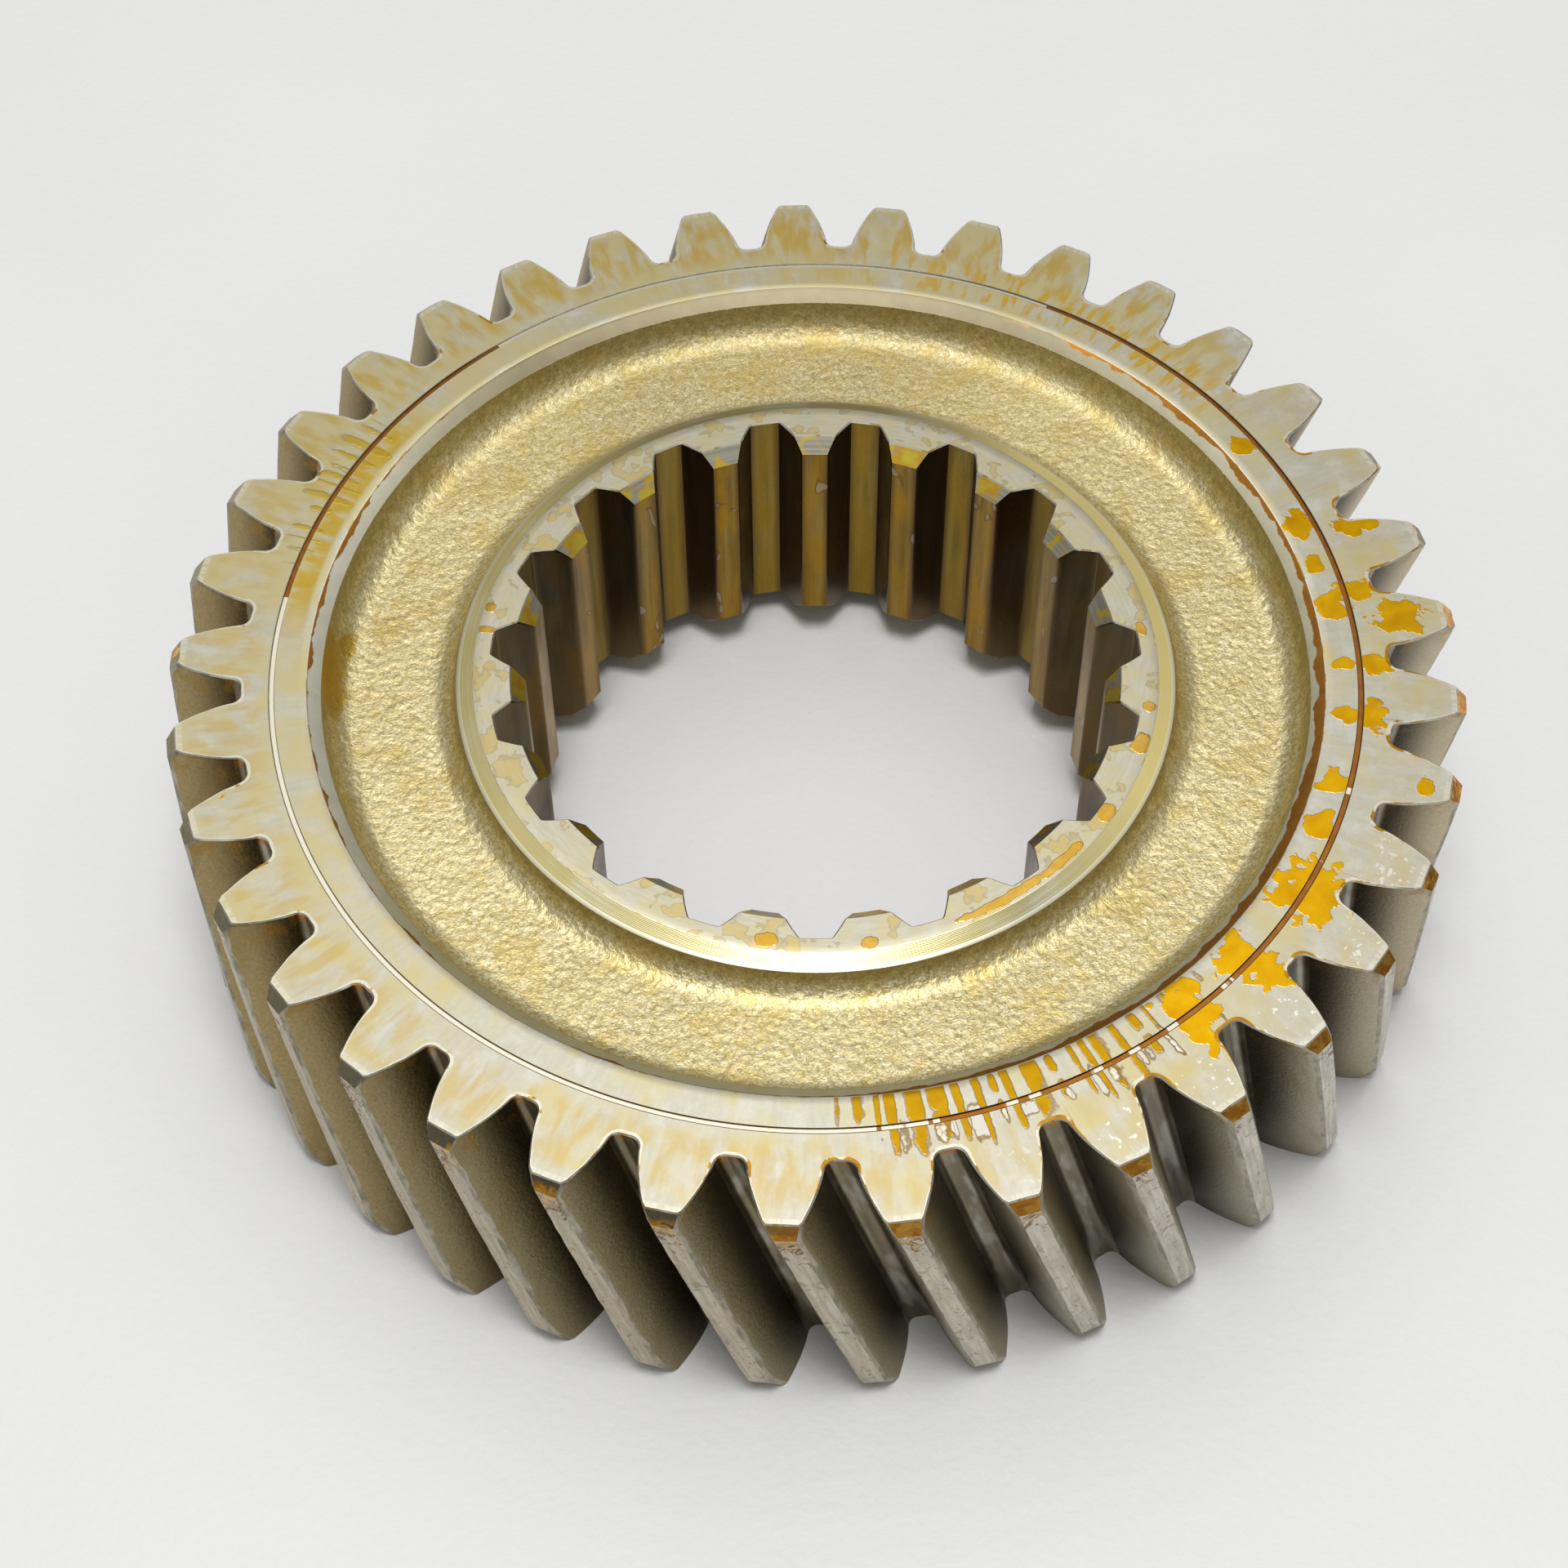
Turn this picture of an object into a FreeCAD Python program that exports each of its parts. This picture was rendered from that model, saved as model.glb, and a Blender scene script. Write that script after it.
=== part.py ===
import FreeCAD, Part
import math
import os
import Sketcher

V = FreeCAD.Vector

# Left-hand helical gear of a heavy gearbox, forged and then machined in one piece.
# Frame: the gear lies on its lower rim face, Z is its axis, the origin is the
# centre of that face, and a space of the internal spline is centred on +X.

doc = FreeCAD.newDocument("helical_gear")
sheet = doc.addObject("Spreadsheet::Sheet", "dimensions")

DIMENSIONS = [
    # alias, value (mm, degrees or a count), meaning
    ("tooth_count", 37, "external teeth"),
    ("normal_module", 4, "module across the helix"),
    ("normal_pressure_angle", 20, "pressure angle across the helix"),
    ("helix_angle", 15, "left hand, at the pitch circle"),
    ("profile_shift", 0.16, "addendum shift, in modules"),
    ("face_width", 42, "lower rim face to upper rim face"),
    ("tip_radius", 81.25, "outside of the teeth"),
    ("tip_edge_bevel", 0.45, "45 degree bevel along both edges of each tooth tip"),
    ("root_radius", 71.9, "bottom of the tooth spaces"),
    ("root_fillet", 1.3, "fillet between flank and root"),
    ("tooth_phase", -0.174, "angle of a tooth's centre at the upper rim face"),
    ("tip_chamfer", 1.4, "turned on the tooth tips at the upper face, both ways"),
    ("lead_chamfer_radial", 1.3, "turned on the tooth tips at the lower face, across"),
    ("lead_chamfer_axial", 3.5, "turned on the tooth tips at the lower face, along"),
    ("cutter_overrun", 0.8, "how far each cutter runs past the blank"),
    ("ring_radius", 68.34, "outer edge of the ring turned in the upper rim face"),
    ("ring_width", 0.64, "width of that ring"),
    ("ring_depth", 0.2, "depth of that ring"),
    ("recess_radius", 63.7, "where the rim face ends"),
    ("recess_chamfer_radial", 1.75, "chamfer round the recess, across"),
    ("recess_chamfer_axial", 1.15, "chamfer round the recess, down"),
    ("recess_depth", 6, "upper rim face to the floor of the upper recess"),
    ("lower_recess_depth", 9, "lower rim face to the floor of the lower recess"),
    ("recess_draft", 1, "how far each forged wall leans in over its height"),
    ("recess_fillet", 3.6, "forged radius at the floor of each recess"),
    ("hub_radius", 43.15, "outside of the flat hub face"),
    ("hub_bevel_radial", 2.15, "turned bevel round the hub face, across"),
    ("hub_bevel_axial", 0.95, "turned bevel round the hub face, down"),
    ("hub_top_drop", 1.9, "upper rim face down to the upper hub face"),
    ("hub_bottom_rise", 4.1, "lower rim face up to the lower hub face"),
    ("spline_count", 19, "spaces of the internal spline"),
    ("spline_module", 4, "module of the spline"),
    ("spline_pressure_angle", 30, "pressure angle of the spline"),
    ("spline_space_width", 7.4, "space width at the spline's pitch circle"),
    ("spline_major_radius", 41, "bottom of the spline spaces"),
    ("spline_minor_radius", 36.6, "crests of the spline teeth"),
    ("spline_chamfer", 1.9, "45 degree lead-in on the crests at both ends"),
]
for row, (alias, number, meaning) in enumerate(DIMENSIONS, start=1):
    sheet.set(f"A{row}", meaning)
    sheet.set(f"B{row}", str(number))
    sheet.setAlias(f"B{row}", alias)
doc.recompute()


def size(text):
    """Value of a sum of sheet dimensions, such as 'hub_radius + hub_bevel_radial'."""
    total = 0.0
    sign = 1.0
    for word in text.split():
        if word in "+-":
            sign = 1.0 if word == "+" else -1.0
        else:
            total += sign * float(sheet.get(word))
    return total


def bound(text):
    """The same sum as an expression on the sheet."""
    return " ".join(word if word in "+-" else "dimensions." + word for word in text.split())


# --- sizes that follow from the sheet -------------------------------------------

teeth = int(size("tooth_count"))
helix = math.radians(size("helix_angle"))
pitch_radius = size("normal_module") * teeth / (2 * math.cos(helix))
normal_pressure = math.radians(size("normal_pressure_angle"))
pressure = math.atan(math.tan(normal_pressure) / math.cos(helix))
half_tooth = (math.pi / 2 + 2 * size("profile_shift") * math.tan(normal_pressure)) / teeth
# The teeth turn through this angle over the face width: at the lower face they
# stand further anticlockwise, seen from above, than at the upper face.
twist = size("face_width") * math.tan(helix) / pitch_radius
twist_per_mm = twist / size("face_width")

spline_pitch_radius = size("spline_module") * size("spline_count") / 2
spline_pressure = math.radians(size("spline_pressure_angle"))
spline_half_space = size("spline_space_width") / (2 * spline_pitch_radius)


def involute_angle(pitch, pitch_pressure, radius):
    """Angle that an involute turns through from its pitch circle out to a radius."""
    at_radius = math.acos(pitch * math.cos(pitch_pressure) / radius)
    return (math.tan(at_radius) - at_radius) - (math.tan(pitch_pressure) - pitch_pressure)


def half_space(radius):
    """Half the angle of a space between external teeth, at a radius."""
    return math.pi / teeth - half_tooth + involute_angle(pitch_radius, pressure, radius)


def half_spline_space(radius):
    """Half the angle of a space of the internal spline, at a radius."""
    return spline_half_space - involute_angle(spline_pitch_radius, spline_pressure, radius)


# --- helpers ----------------------------------------------------------------------


def polar(radius, angle):
    return V(radius * math.cos(angle), radius * math.sin(angle), 0)


def steps(start, end, count):
    return [start + (end - start) * i / (count - 1) for i in range(count)]


def origin_feature(body, role):
    for feature in body.Origin.OriginFeatures:
        if feature.Role == role:
            return feature
    raise ValueError(role)


def new_sketch(body, name, role):
    sketch = body.newObject("Sketcher::SketchObject", name)
    sketch.AttachmentSupport = (origin_feature(body, role), [""])
    sketch.MapMode = "FlatFace"
    return sketch


def section_sketch(body, name, corners):
    """Closed half-section in the XZ plane, with each corner bound to the sheet.

    corners holds (radius, height) pairs; each is a sum of sheet dimensions, and
    a height of None is the plane of the lower rim face.
    """
    sketch = new_sketch(body, name, "XZ_Plane")
    points = [V(size(radius), size(height or ""), 0) for radius, height in corners]
    for start, end in zip(points, points[1:] + points[:1]):
        sketch.addGeometry(Part.LineSegment(start, end))
    count = len(points)
    for i in range(count):
        sketch.addConstraint(Sketcher.Constraint("Coincident", i, 2, (i + 1) % count, 1))
    for i, (radius, height) in enumerate(corners):
        bind_distance(sketch, "DistanceX", i, f"radius{i}", radius)
        if height is None:
            sketch.addConstraint(Sketcher.Constraint("PointOnObject", i, 1, -1))
        else:
            bind_distance(sketch, "DistanceY", i, f"height{i}", height)
    return sketch


def bind_distance(sketch, kind, line, label, text):
    """Dimension from the sketch's origin to the start of a line."""
    index = sketch.addConstraint(Sketcher.Constraint(kind, -1, 1, line, 1, size(text)))
    sketch.renameConstraint(index, label)
    sketch.setExpression(f"Constraints.{label}", bound(text))


def turn(body, kind, name, sketch):
    """Revolution or Groove of a half-section about the gear's axis."""
    feature = body.newObject(kind, name)
    feature.Profile = sketch
    feature.ReferenceAxis = (sketch, ["V_Axis"])
    feature.Angle = 360
    body.Tip = feature
    doc.recompute()
    return feature


def repeat_round(body, name, feature, count_alias):
    """Repeats a cut evenly round the gear's axis."""
    pattern = body.newObject("PartDesign::PolarPattern", name)
    pattern.Originals = [feature]
    pattern.Axis = (origin_feature(body, "Z_Axis"), [""])
    pattern.Angle = 360
    pattern.setExpression("Occurrences", f"dimensions.{count_alias}")
    body.Tip = pattern
    doc.recompute()
    return pattern


def check_cut(name, before, after, expected):
    """Stops if a cut took away much less or more than it should."""
    removed = before.Shape.Volume - after.Shape.Volume
    print(f"{name}: removed {removed:.0f} mm3, expected about {expected:.0f} mm3")
    if not 0.9 * expected < removed < 1.1 * expected:
        raise RuntimeError(f"{name} cut the wrong amount")


def flank(half_angle, centre, side, radii):
    """Involute flank of a space, as a curve through points on these radii."""
    curve = Part.BSplineCurve()
    curve.interpolate([polar(r, centre + side * half_angle(r)) for r in radii])
    return curve


def arc_about_axis(radius, centre, half):
    return Part.Arc(*[polar(radius, centre + offset) for offset in (-half, 0, half)])


# --- the forged and turned blank ----------------------------------------------------

gear = doc.addObject("PartDesign::Body", "helical_gear")
gear.Label = "helical_gear"

blank_section = section_sketch(gear, "blank_section", [
    # lower side, from the bore outwards
    ("spline_minor_radius", "hub_bottom_rise + spline_chamfer"),
    ("spline_minor_radius + spline_chamfer", "hub_bottom_rise"),
    ("hub_radius", "hub_bottom_rise"),
    ("hub_radius + hub_bevel_radial", "hub_bottom_rise + hub_bevel_axial"),
    ("hub_radius + hub_bevel_radial + recess_draft", "lower_recess_depth"),
    ("recess_radius - recess_chamfer_radial - recess_draft", "lower_recess_depth"),
    ("recess_radius - recess_chamfer_radial", "recess_chamfer_axial"),
    ("recess_radius", None),
    ("tip_radius - lead_chamfer_radial", None),
    ("tip_radius", "lead_chamfer_axial"),
    # upper side, from the tooth tips inwards
    ("tip_radius", "face_width - tip_chamfer"),
    ("tip_radius - tip_chamfer", "face_width"),
    ("recess_radius", "face_width"),
    ("recess_radius - recess_chamfer_radial", "face_width - recess_chamfer_axial"),
    ("recess_radius - recess_chamfer_radial - recess_draft", "face_width - recess_depth"),
    ("hub_radius + hub_bevel_radial + recess_draft", "face_width - recess_depth"),
    ("hub_radius + hub_bevel_radial", "face_width - hub_top_drop - hub_bevel_axial"),
    ("hub_radius", "face_width - hub_top_drop"),
    ("spline_minor_radius + spline_chamfer", "face_width - hub_top_drop"),
    ("spline_minor_radius", "face_width - hub_top_drop - spline_chamfer"),
])
blank = turn(gear, "PartDesign::Revolution", "blank", blank_section)

# Forged radii where the walls of both recesses meet their floors.
floor_radii = (
    size("hub_radius + hub_bevel_radial + recess_draft"),
    size("recess_radius - recess_chamfer_radial - recess_draft"),
)
floor_heights = (size("lower_recess_depth"), size("face_width - recess_depth"))


def on_floor(curve):
    return (isinstance(curve, Part.Circle)
            and min(abs(curve.Radius - radius) for radius in floor_radii) < 0.01
            and min(abs(curve.Center.z - height) for height in floor_heights) < 0.01)


floor_edges = [
    f"Edge{number}"
    for number, edge in enumerate(blank.Shape.Edges, start=1)
    if on_floor(edge.Curve)
]
forged_radii = gear.newObject("PartDesign::Fillet", "forged_radii")
forged_radii.Base = (blank, floor_edges)
forged_radii.setExpression("Radius", "dimensions.recess_fillet")
gear.Tip = forged_radii
doc.recompute()

# Thin ring turned in the upper rim face.
ring_section = section_sketch(gear, "ring_section", [
    ("ring_radius - ring_width", "face_width - ring_depth"),
    ("ring_radius", "face_width - ring_depth"),
    ("ring_radius", "face_width + cutter_overrun"),
    ("ring_radius - ring_width", "face_width + cutter_overrun"),
])
ring = turn(gear, "PartDesign::Groove", "turned_ring", ring_section)
ring_centre = size("ring_radius") - size("ring_width") / 2
ring_area = size("ring_width") * size("ring_depth")
check_cut("turned ring", forged_radii, ring, 2 * math.pi * ring_centre * ring_area)

# --- the internal spline ----------------------------------------------------------------

major = size("spline_major_radius")
inside = size("spline_minor_radius - cutter_overrun")
spline_radii = steps(inside, major, 7)
spline_sketch = new_sketch(gear, "spline_space", "XY_Plane")
for spline_curve in (
    flank(half_spline_space, 0, -1, spline_radii),
    arc_about_axis(major, 0, half_spline_space(major)),
    flank(half_spline_space, 0, 1, spline_radii),
    arc_about_axis(inside, 0, half_spline_space(inside)),
):
    spline_sketch.addGeometry(spline_curve)
doc.recompute()

spline_space = gear.newObject("PartDesign::Pocket", "spline_space_cut")
spline_space.Profile = spline_sketch
spline_space.Type = "ThroughAll"
spline_space.Reversed = True
gear.Tip = spline_space
doc.recompute()
spline = repeat_round(gear, "spline", spline_space, "spline_count")

minor = size("spline_minor_radius")
space_area = sum(
    2 * radius * half_spline_space(radius) * (major - minor) / 50
    for radius in steps(minor, major, 51)[:-1]
)
hub_length = size("face_width - hub_top_drop - hub_bottom_rise")
check_cut("spline", ring, spline, space_area * hub_length * size("spline_count"))

# --- the external teeth -------------------------------------------------------------------

root = size("root_radius")
fillet = size("root_fillet")
bevel_start = size("tip_radius - tip_edge_bevel")
outer = size("tip_radius + cutter_overrun")


def flank_contact(angle):
    """Where the flank comes nearest to a root fillet centred at this angle."""
    centre = polar(root + fillet, angle)
    return min(
        (centre.distanceToPoint(polar(radius, half_space(radius))), radius)
        for radius in steps(root, root + 3 * fillet, 240)
    )


def root_fillet_place():
    """Angle of the fillet's centre from the space's centre, and its contact radius.

    The centre stands one fillet radius outside the root circle; its angle is
    halved down until its distance to the flank is one fillet radius too.
    """
    low = 0.0
    high = half_space(root + fillet)
    for _ in range(40):
        middle = (low + high) / 2
        if flank_contact(middle)[0] > fillet:
            low = middle
        else:
            high = middle
    return low, flank_contact(low)[1]


# The sketch lies below the gear, where the teeth have turned a little further.
overrun = size("cutter_overrun")
space_centre = math.radians(size("tooth_phase")) + math.pi / teeth + twist + overrun * twist_per_mm
fillet_angle, contact = root_fillet_place()
outer_half = half_space(bevel_start) + (outer - bevel_start) / outer


def root_arc(side):
    """Root fillet on one side of the space."""
    centre = polar(root + fillet, space_centre + side * fillet_angle)
    start = polar(root, space_centre + side * fillet_angle)
    end = polar(contact, space_centre + side * half_space(contact))
    middle = centre + ((start + end) / 2 - centre).normalize() * fillet
    return Part.Arc(start, middle, end)


def bevel_line(side):
    """Bevel along the tooth tip on one side of the space, run past the blank."""
    start = polar(bevel_start, space_centre + side * half_space(bevel_start))
    return Part.LineSegment(start, polar(outer, space_centre + side * outer_half))


space_sketch = new_sketch(gear, "tooth_space", "XY_Plane")
space_sketch.setExpression("AttachmentOffset.Base.z", "-dimensions.cutter_overrun")
for side in (-1, 1):
    space_sketch.addGeometry(root_arc(side))
    space_sketch.addGeometry(flank(half_space, space_centre, side, steps(contact, bevel_start, 9)))
    space_sketch.addGeometry(bevel_line(side))
space_sketch.addGeometry(arc_about_axis(root, space_centre, fillet_angle))
space_sketch.addGeometry(arc_about_axis(outer, space_centre, outer_half))
doc.recompute()

tooth_space = gear.newObject("PartDesign::SubtractiveHelix", "tooth_space_cut")
tooth_space.Profile = space_sketch
tooth_space.ReferenceAxis = (origin_feature(gear, "Z_Axis"), [""])
tooth_space.Mode = "pitch-height-angle"
tooth_space.LeftHanded = True
tooth_space.setExpression(
    "Pitch",
    "pi * dimensions.normal_module * dimensions.tooth_count / sin(dimensions.helix_angle * 1 deg)")
tooth_space.setExpression("Height", "dimensions.face_width + 2 * dimensions.cutter_overrun")
gear.Tip = tooth_space
doc.recompute()
check_cut("one tooth space", spline, tooth_space,
          2 * half_space(pitch_radius) * pitch_radius * size("tip_radius - root_radius")
          * size("face_width"))
toothed = repeat_round(gear, "helical_teeth", tooth_space, "tooth_count")

# --- checks and export ------------------------------------------------------------------------

doc.recompute()
for obj in doc.Objects:
    if "Invalid" in obj.State or "Error" in obj.State:
        raise RuntimeError(f"{obj.Name} failed: {obj.getStatusString()}")

os.makedirs("parts", exist_ok=True)
for body in (gear,):
    if body.Shape.isNull() or not body.Shape.isValid():
        raise RuntimeError(f"{body.Label} has no valid shape")
    print(f"{body.Label}: {body.Shape.Volume:.0f} mm3, solids {len(body.Shape.Solids)}")
    body.Shape.exportStep(f"parts/{body.Label}.step")
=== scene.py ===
import math
from functools import partialmethod, reduce

import bpy
import numpy as np
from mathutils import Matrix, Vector


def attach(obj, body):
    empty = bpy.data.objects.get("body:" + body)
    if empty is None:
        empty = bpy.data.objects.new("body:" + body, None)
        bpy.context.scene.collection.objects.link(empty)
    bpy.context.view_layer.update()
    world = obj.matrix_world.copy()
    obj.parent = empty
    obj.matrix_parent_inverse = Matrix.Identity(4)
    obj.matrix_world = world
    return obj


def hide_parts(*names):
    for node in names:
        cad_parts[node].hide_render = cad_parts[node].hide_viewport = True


# Left-hand helical gear, forged, machined and oiled, lying on its lower rim face.
# Frame: metres, Z is the gear's axis, the origin is the centre of the lower rim face.

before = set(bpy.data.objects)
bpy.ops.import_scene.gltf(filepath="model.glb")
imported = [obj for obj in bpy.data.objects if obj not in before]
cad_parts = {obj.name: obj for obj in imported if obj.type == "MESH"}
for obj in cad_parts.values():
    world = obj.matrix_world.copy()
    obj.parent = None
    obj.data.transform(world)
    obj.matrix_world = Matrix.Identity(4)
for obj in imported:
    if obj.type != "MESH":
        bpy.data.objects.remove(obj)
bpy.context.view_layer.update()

# --- sizes, in mm and radians, as in the CAD source

TEETH = 37
NORMAL_MODULE = 4.0
NORMAL_PRESSURE = math.radians(20)
HELIX = math.radians(15)
PROFILE_SHIFT = 0.16
FACE_WIDTH = 42.0
TIP_RADIUS = 81.25
TIP_EDGE_BEVEL = 0.45
ROOT_RADIUS = 71.9
ROOT_FILLET = 1.3
TOOTH_PHASE = math.radians(-0.174)
TIP_CHAMFER = 1.4
LEAD_CHAMFER = (1.3, 3.5)
RING_RADIUS = 68.34
RING_WIDTH = 0.64
RING_DEPTH = 0.2
RECESS_RADIUS = 63.7
RECESS_CHAMFER = (1.75, 1.15)
RECESS_DEPTHS = {"top": 6.0, "bottom": 9.0}
RECESS_DRAFT = 1.0
RECESS_FILLET = 3.6
HUB_RADIUS = 43.15
HUB_BEVEL = (2.15, 0.95)
HUB_DROPS = {"top": 1.9, "bottom": 4.1}
SPLINES = 19
SPLINE_PITCH_RADIUS = 38.0
SPLINE_PRESSURE = math.radians(30)
SPLINE_SPACE_WIDTH = 7.4
SPLINE_MAJOR = 41.0
SPLINE_MINOR = 36.6
SPLINE_CHAMFER = 1.9

# How finely the surface is divided, and how far sharp edges are broken, in mm.
EDGE_BREAK = 0.17
TIP_EDGE_LEAST = 0.14
SPLINE_CORNER = 0.16
SPLINE_EDGE = 0.18
GRAIN_STEP = 0.22
CREASE = math.radians(32)

# The side where tip edges are worn unevenly, and how far it reaches to each side.
WORN_SIDE, WORN_REACH = math.radians(-135), math.radians(42)

TURN = 2 * math.pi
PITCH_RADIUS = NORMAL_MODULE * TEETH / (2 * math.cos(HELIX))
PRESSURE = math.atan(math.tan(NORMAL_PRESSURE) / math.cos(HELIX))
HALF_TOOTH = (math.pi / 2 + 2 * PROFILE_SHIFT * math.tan(NORMAL_PRESSURE)) / TEETH
TWIST_PER_MM = math.tan(HELIX) / PITCH_RADIUS

# --- repeatable noise on arrays of points


def lattice(cell, seed):
    """A repeatable number from -1 to 1 for each whole-numbered cell."""
    mixed = cell[..., 0] * 374761393 + cell[..., 1] * 668265263 + cell[..., 2] * 1103515245
    mixed = (mixed + seed * 1274126177) & 0xFFFFFFFF
    for shift, factor in ((13, 1597334677), (15, 3812015801)):
        mixed = ((mixed ^ (mixed >> shift)) * factor) & 0xFFFFFFFF
    return ((mixed ^ (mixed >> 16)) & 0xFFFF) / 32767.5 - 1


def noise(points, size, seed):
    """Smooth noise from about -1 to 1 with lumps of this size."""
    turn = 0.6 + seed
    x = points[..., 0] * math.cos(turn) - points[..., 1] * math.sin(turn)
    y = points[..., 0] * math.sin(turn) + points[..., 1] * math.cos(turn)
    z = points[..., 2] + 0.31 * x
    place = np.stack([x, y, z], axis=-1) / size
    cell = np.floor(place).astype(np.int64)
    part = place - cell
    part = part * part * (3 - 2 * part)
    total = np.zeros(points.shape[:-1])
    for corner in np.ndindex(2, 2, 2):
        share = np.ones(points.shape[:-1])
        for axis, side in enumerate(corner):
            share *= part[..., axis] if side else 1 - part[..., axis]
        total += share * lattice(cell + np.array(corner), seed)
    return total


# --- the surface, as closed rings of points one after another


class Surface:
    """A closed skin made of rings round the axis, each joined to the one before."""

    def __init__(self):
        self.points, self.faces, self.slots = [], [], []
        self.count = 0
        self.first = self.last = None

    def ring(self, points, slot=None):
        """Adds a ring and joins it to the last one; slot is a name or one per column."""
        indices = np.arange(self.count, self.count + len(points))
        self.points.append(points)
        self.count += len(points)
        if self.last is None:
            self.first = indices
        elif len(indices) == len(self.last):
            self.join_even(self.last, indices, slot)
        else:
            self.join_uneven(self.last, indices, slot)
        self.last = indices

    def close(self, slot):
        self.join_uneven(self.last, self.first, slot)

    def join_even(self, lower, upper, slot):
        following = np.roll(lower, -1), np.roll(upper, -1)
        self.faces.append(np.stack([lower, following[0], following[1], upper], axis=1))
        numbers = slot if isinstance(slot, np.ndarray) else SLOT[slot]
        self.slots.append(np.broadcast_to(numbers, len(lower)))

    def join_uneven(self, lower, upper, slot):
        """Triangles between two rings whose points differ in number, by angle."""
        everything = np.concatenate(self.points)
        around = np.arctan2(everything[:, 1], everything[:, 0])
        angles = [np.unwrap(around[ring]) for ring in (lower, upper)]
        offset = np.angle(np.exp(1j * (angles[1] - angles[0][0])))
        start = int(np.argmin(np.abs(offset)))
        upper = np.roll(upper, -start)
        second = np.unwrap(np.roll(angles[1], -start))
        second += TURN * round((angles[0][0] - second[0]) / TURN)
        first = np.append(angles[0], angles[0][0] + TURN)
        second = np.append(second, second[0] + TURN)
        triangles = []
        i = j = 0
        while i < len(lower) or j < len(upper):
            a, b = lower[i % len(lower)], upper[j % len(upper)]
            if j == len(upper) or (i < len(lower) and first[i + 1] < second[j + 1]):
                triangles.append((a, lower[(i + 1) % len(lower)], b, b))
                i += 1
            else:
                triangles.append((a, upper[(j + 1) % len(upper)], b, b))
                j += 1
        self.faces.append(np.array(triangles))
        self.slots.append(np.full(len(triangles), SLOT[slot]))


def polar(radius, angle, height):
    radius, angle, height = np.broadcast_arrays(radius, angle, height)
    return np.stack([radius * np.cos(angle), radius * np.sin(angle), height], axis=-1)


def circle(radius, height, count, start=0.0):
    return polar(radius, start + TURN * np.arange(count) / count, height)


def inward(points, distance, into=1):
    """A ring moved sideways into the steel; into is 1 where the steel is inside it."""
    along = np.roll(points, -1, axis=0) - np.roll(points, 1, axis=0)
    length = np.hypot(along[:, 0], along[:, 1])
    moved = points.copy()
    moved[:, 0] -= into * distance * along[:, 1] / length
    moved[:, 1] += into * distance * along[:, 0] / length
    return moved


# --- the external teeth


def involute_angle(pitch, pressure, radius):
    at_radius = np.arccos(pitch * math.cos(pressure) / radius)
    return (np.tan(at_radius) - at_radius) - (math.tan(pressure) - pressure)


def half_tooth(radius):
    """Half the angle of a tooth at a radius."""
    return HALF_TOOTH - involute_angle(PITCH_RADIUS, PRESSURE, radius)


def half_spline_space(radius):
    """Half the angle of a space of the internal spline, at a radius."""
    pitch_half = SPLINE_SPACE_WIDTH / (2 * SPLINE_PITCH_RADIUS)
    return pitch_half - involute_angle(SPLINE_PITCH_RADIUS, SPLINE_PRESSURE, radius)


def root_fillet():
    """Angle of the fillet's centre from the tooth's centre, and its contact radius."""
    radii = np.linspace(ROOT_RADIUS, ROOT_RADIUS + 3 * ROOT_FILLET, 2000)
    flank = polar(radii, half_tooth(radii), 0)
    low, high = half_tooth(ROOT_RADIUS + ROOT_FILLET), math.pi / TEETH
    for _ in range(40):
        middle = (low + high) / 2
        gaps = np.linalg.norm(flank - polar(ROOT_RADIUS + ROOT_FILLET, middle, 0), axis=1)
        if gaps.min() > ROOT_FILLET:
            high = middle
        else:
            low = middle
    return low, radii[np.argmin(gaps)]


FILLET_ANGLE, CONTACT_RADIUS = root_fillet()
ROOT_STEPS, FILLET_STEPS, FLANK_STEPS, LAND_STEPS = 3, 6, 12, 5


def tip_limit(height):
    """Radius that the turned chamfers leave at a height."""
    top = TIP_RADIUS - (height - (FACE_WIDTH - TIP_CHAMFER))
    bottom = TIP_RADIUS - LEAD_CHAMFER[0] * (1 - height / LEAD_CHAMFER[1])
    return min(TIP_RADIUS, top, bottom)


def half_profile(height, bevel):
    """Radii and angles of one side of a tooth, from the space's centre to the tip."""
    tip = tip_limit(height)
    bevel = np.clip(bevel, TIP_EDGE_LEAST, TIP_EDGE_BEVEL + 0.15)
    start = tip - bevel
    centre = polar(ROOT_RADIUS + ROOT_FILLET, FILLET_ANGLE, 0)
    contact = polar(CONTACT_RADIUS, half_tooth(CONTACT_RADIUS), 0)
    first = FILLET_ANGLE + math.pi
    last = math.atan2(contact[1] - centre[1], contact[0] - centre[0])
    last += TURN * round((first - last) / TURN)
    sweep = np.linspace(first, last, FILLET_STEPS + 1)[:-1]
    x, y = centre[0] + ROOT_FILLET * np.cos(sweep), centre[1] + ROOT_FILLET * np.sin(sweep)
    root_angles = np.linspace(math.pi / TEETH, FILLET_ANGLE, ROOT_STEPS + 1)[:-1]
    flank_radii = np.linspace(CONTACT_RADIUS, start, FLANK_STEPS + 1)
    radii = np.concatenate([np.full(ROOT_STEPS, ROOT_RADIUS), np.hypot(x, y), flank_radii, [tip]])
    land = half_tooth(start) - bevel / tip
    angles = np.concatenate([root_angles, np.arctan2(y, x), half_tooth(flank_radii), [land]])
    return radii, angles


HALF_COUNT = ROOT_STEPS + FILLET_STEPS + FLANK_STEPS + 2
PER_TOOTH = 2 * HALF_COUNT + LAND_STEPS - 2
OUTER_COUNT = TEETH * PER_TOOTH


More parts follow.
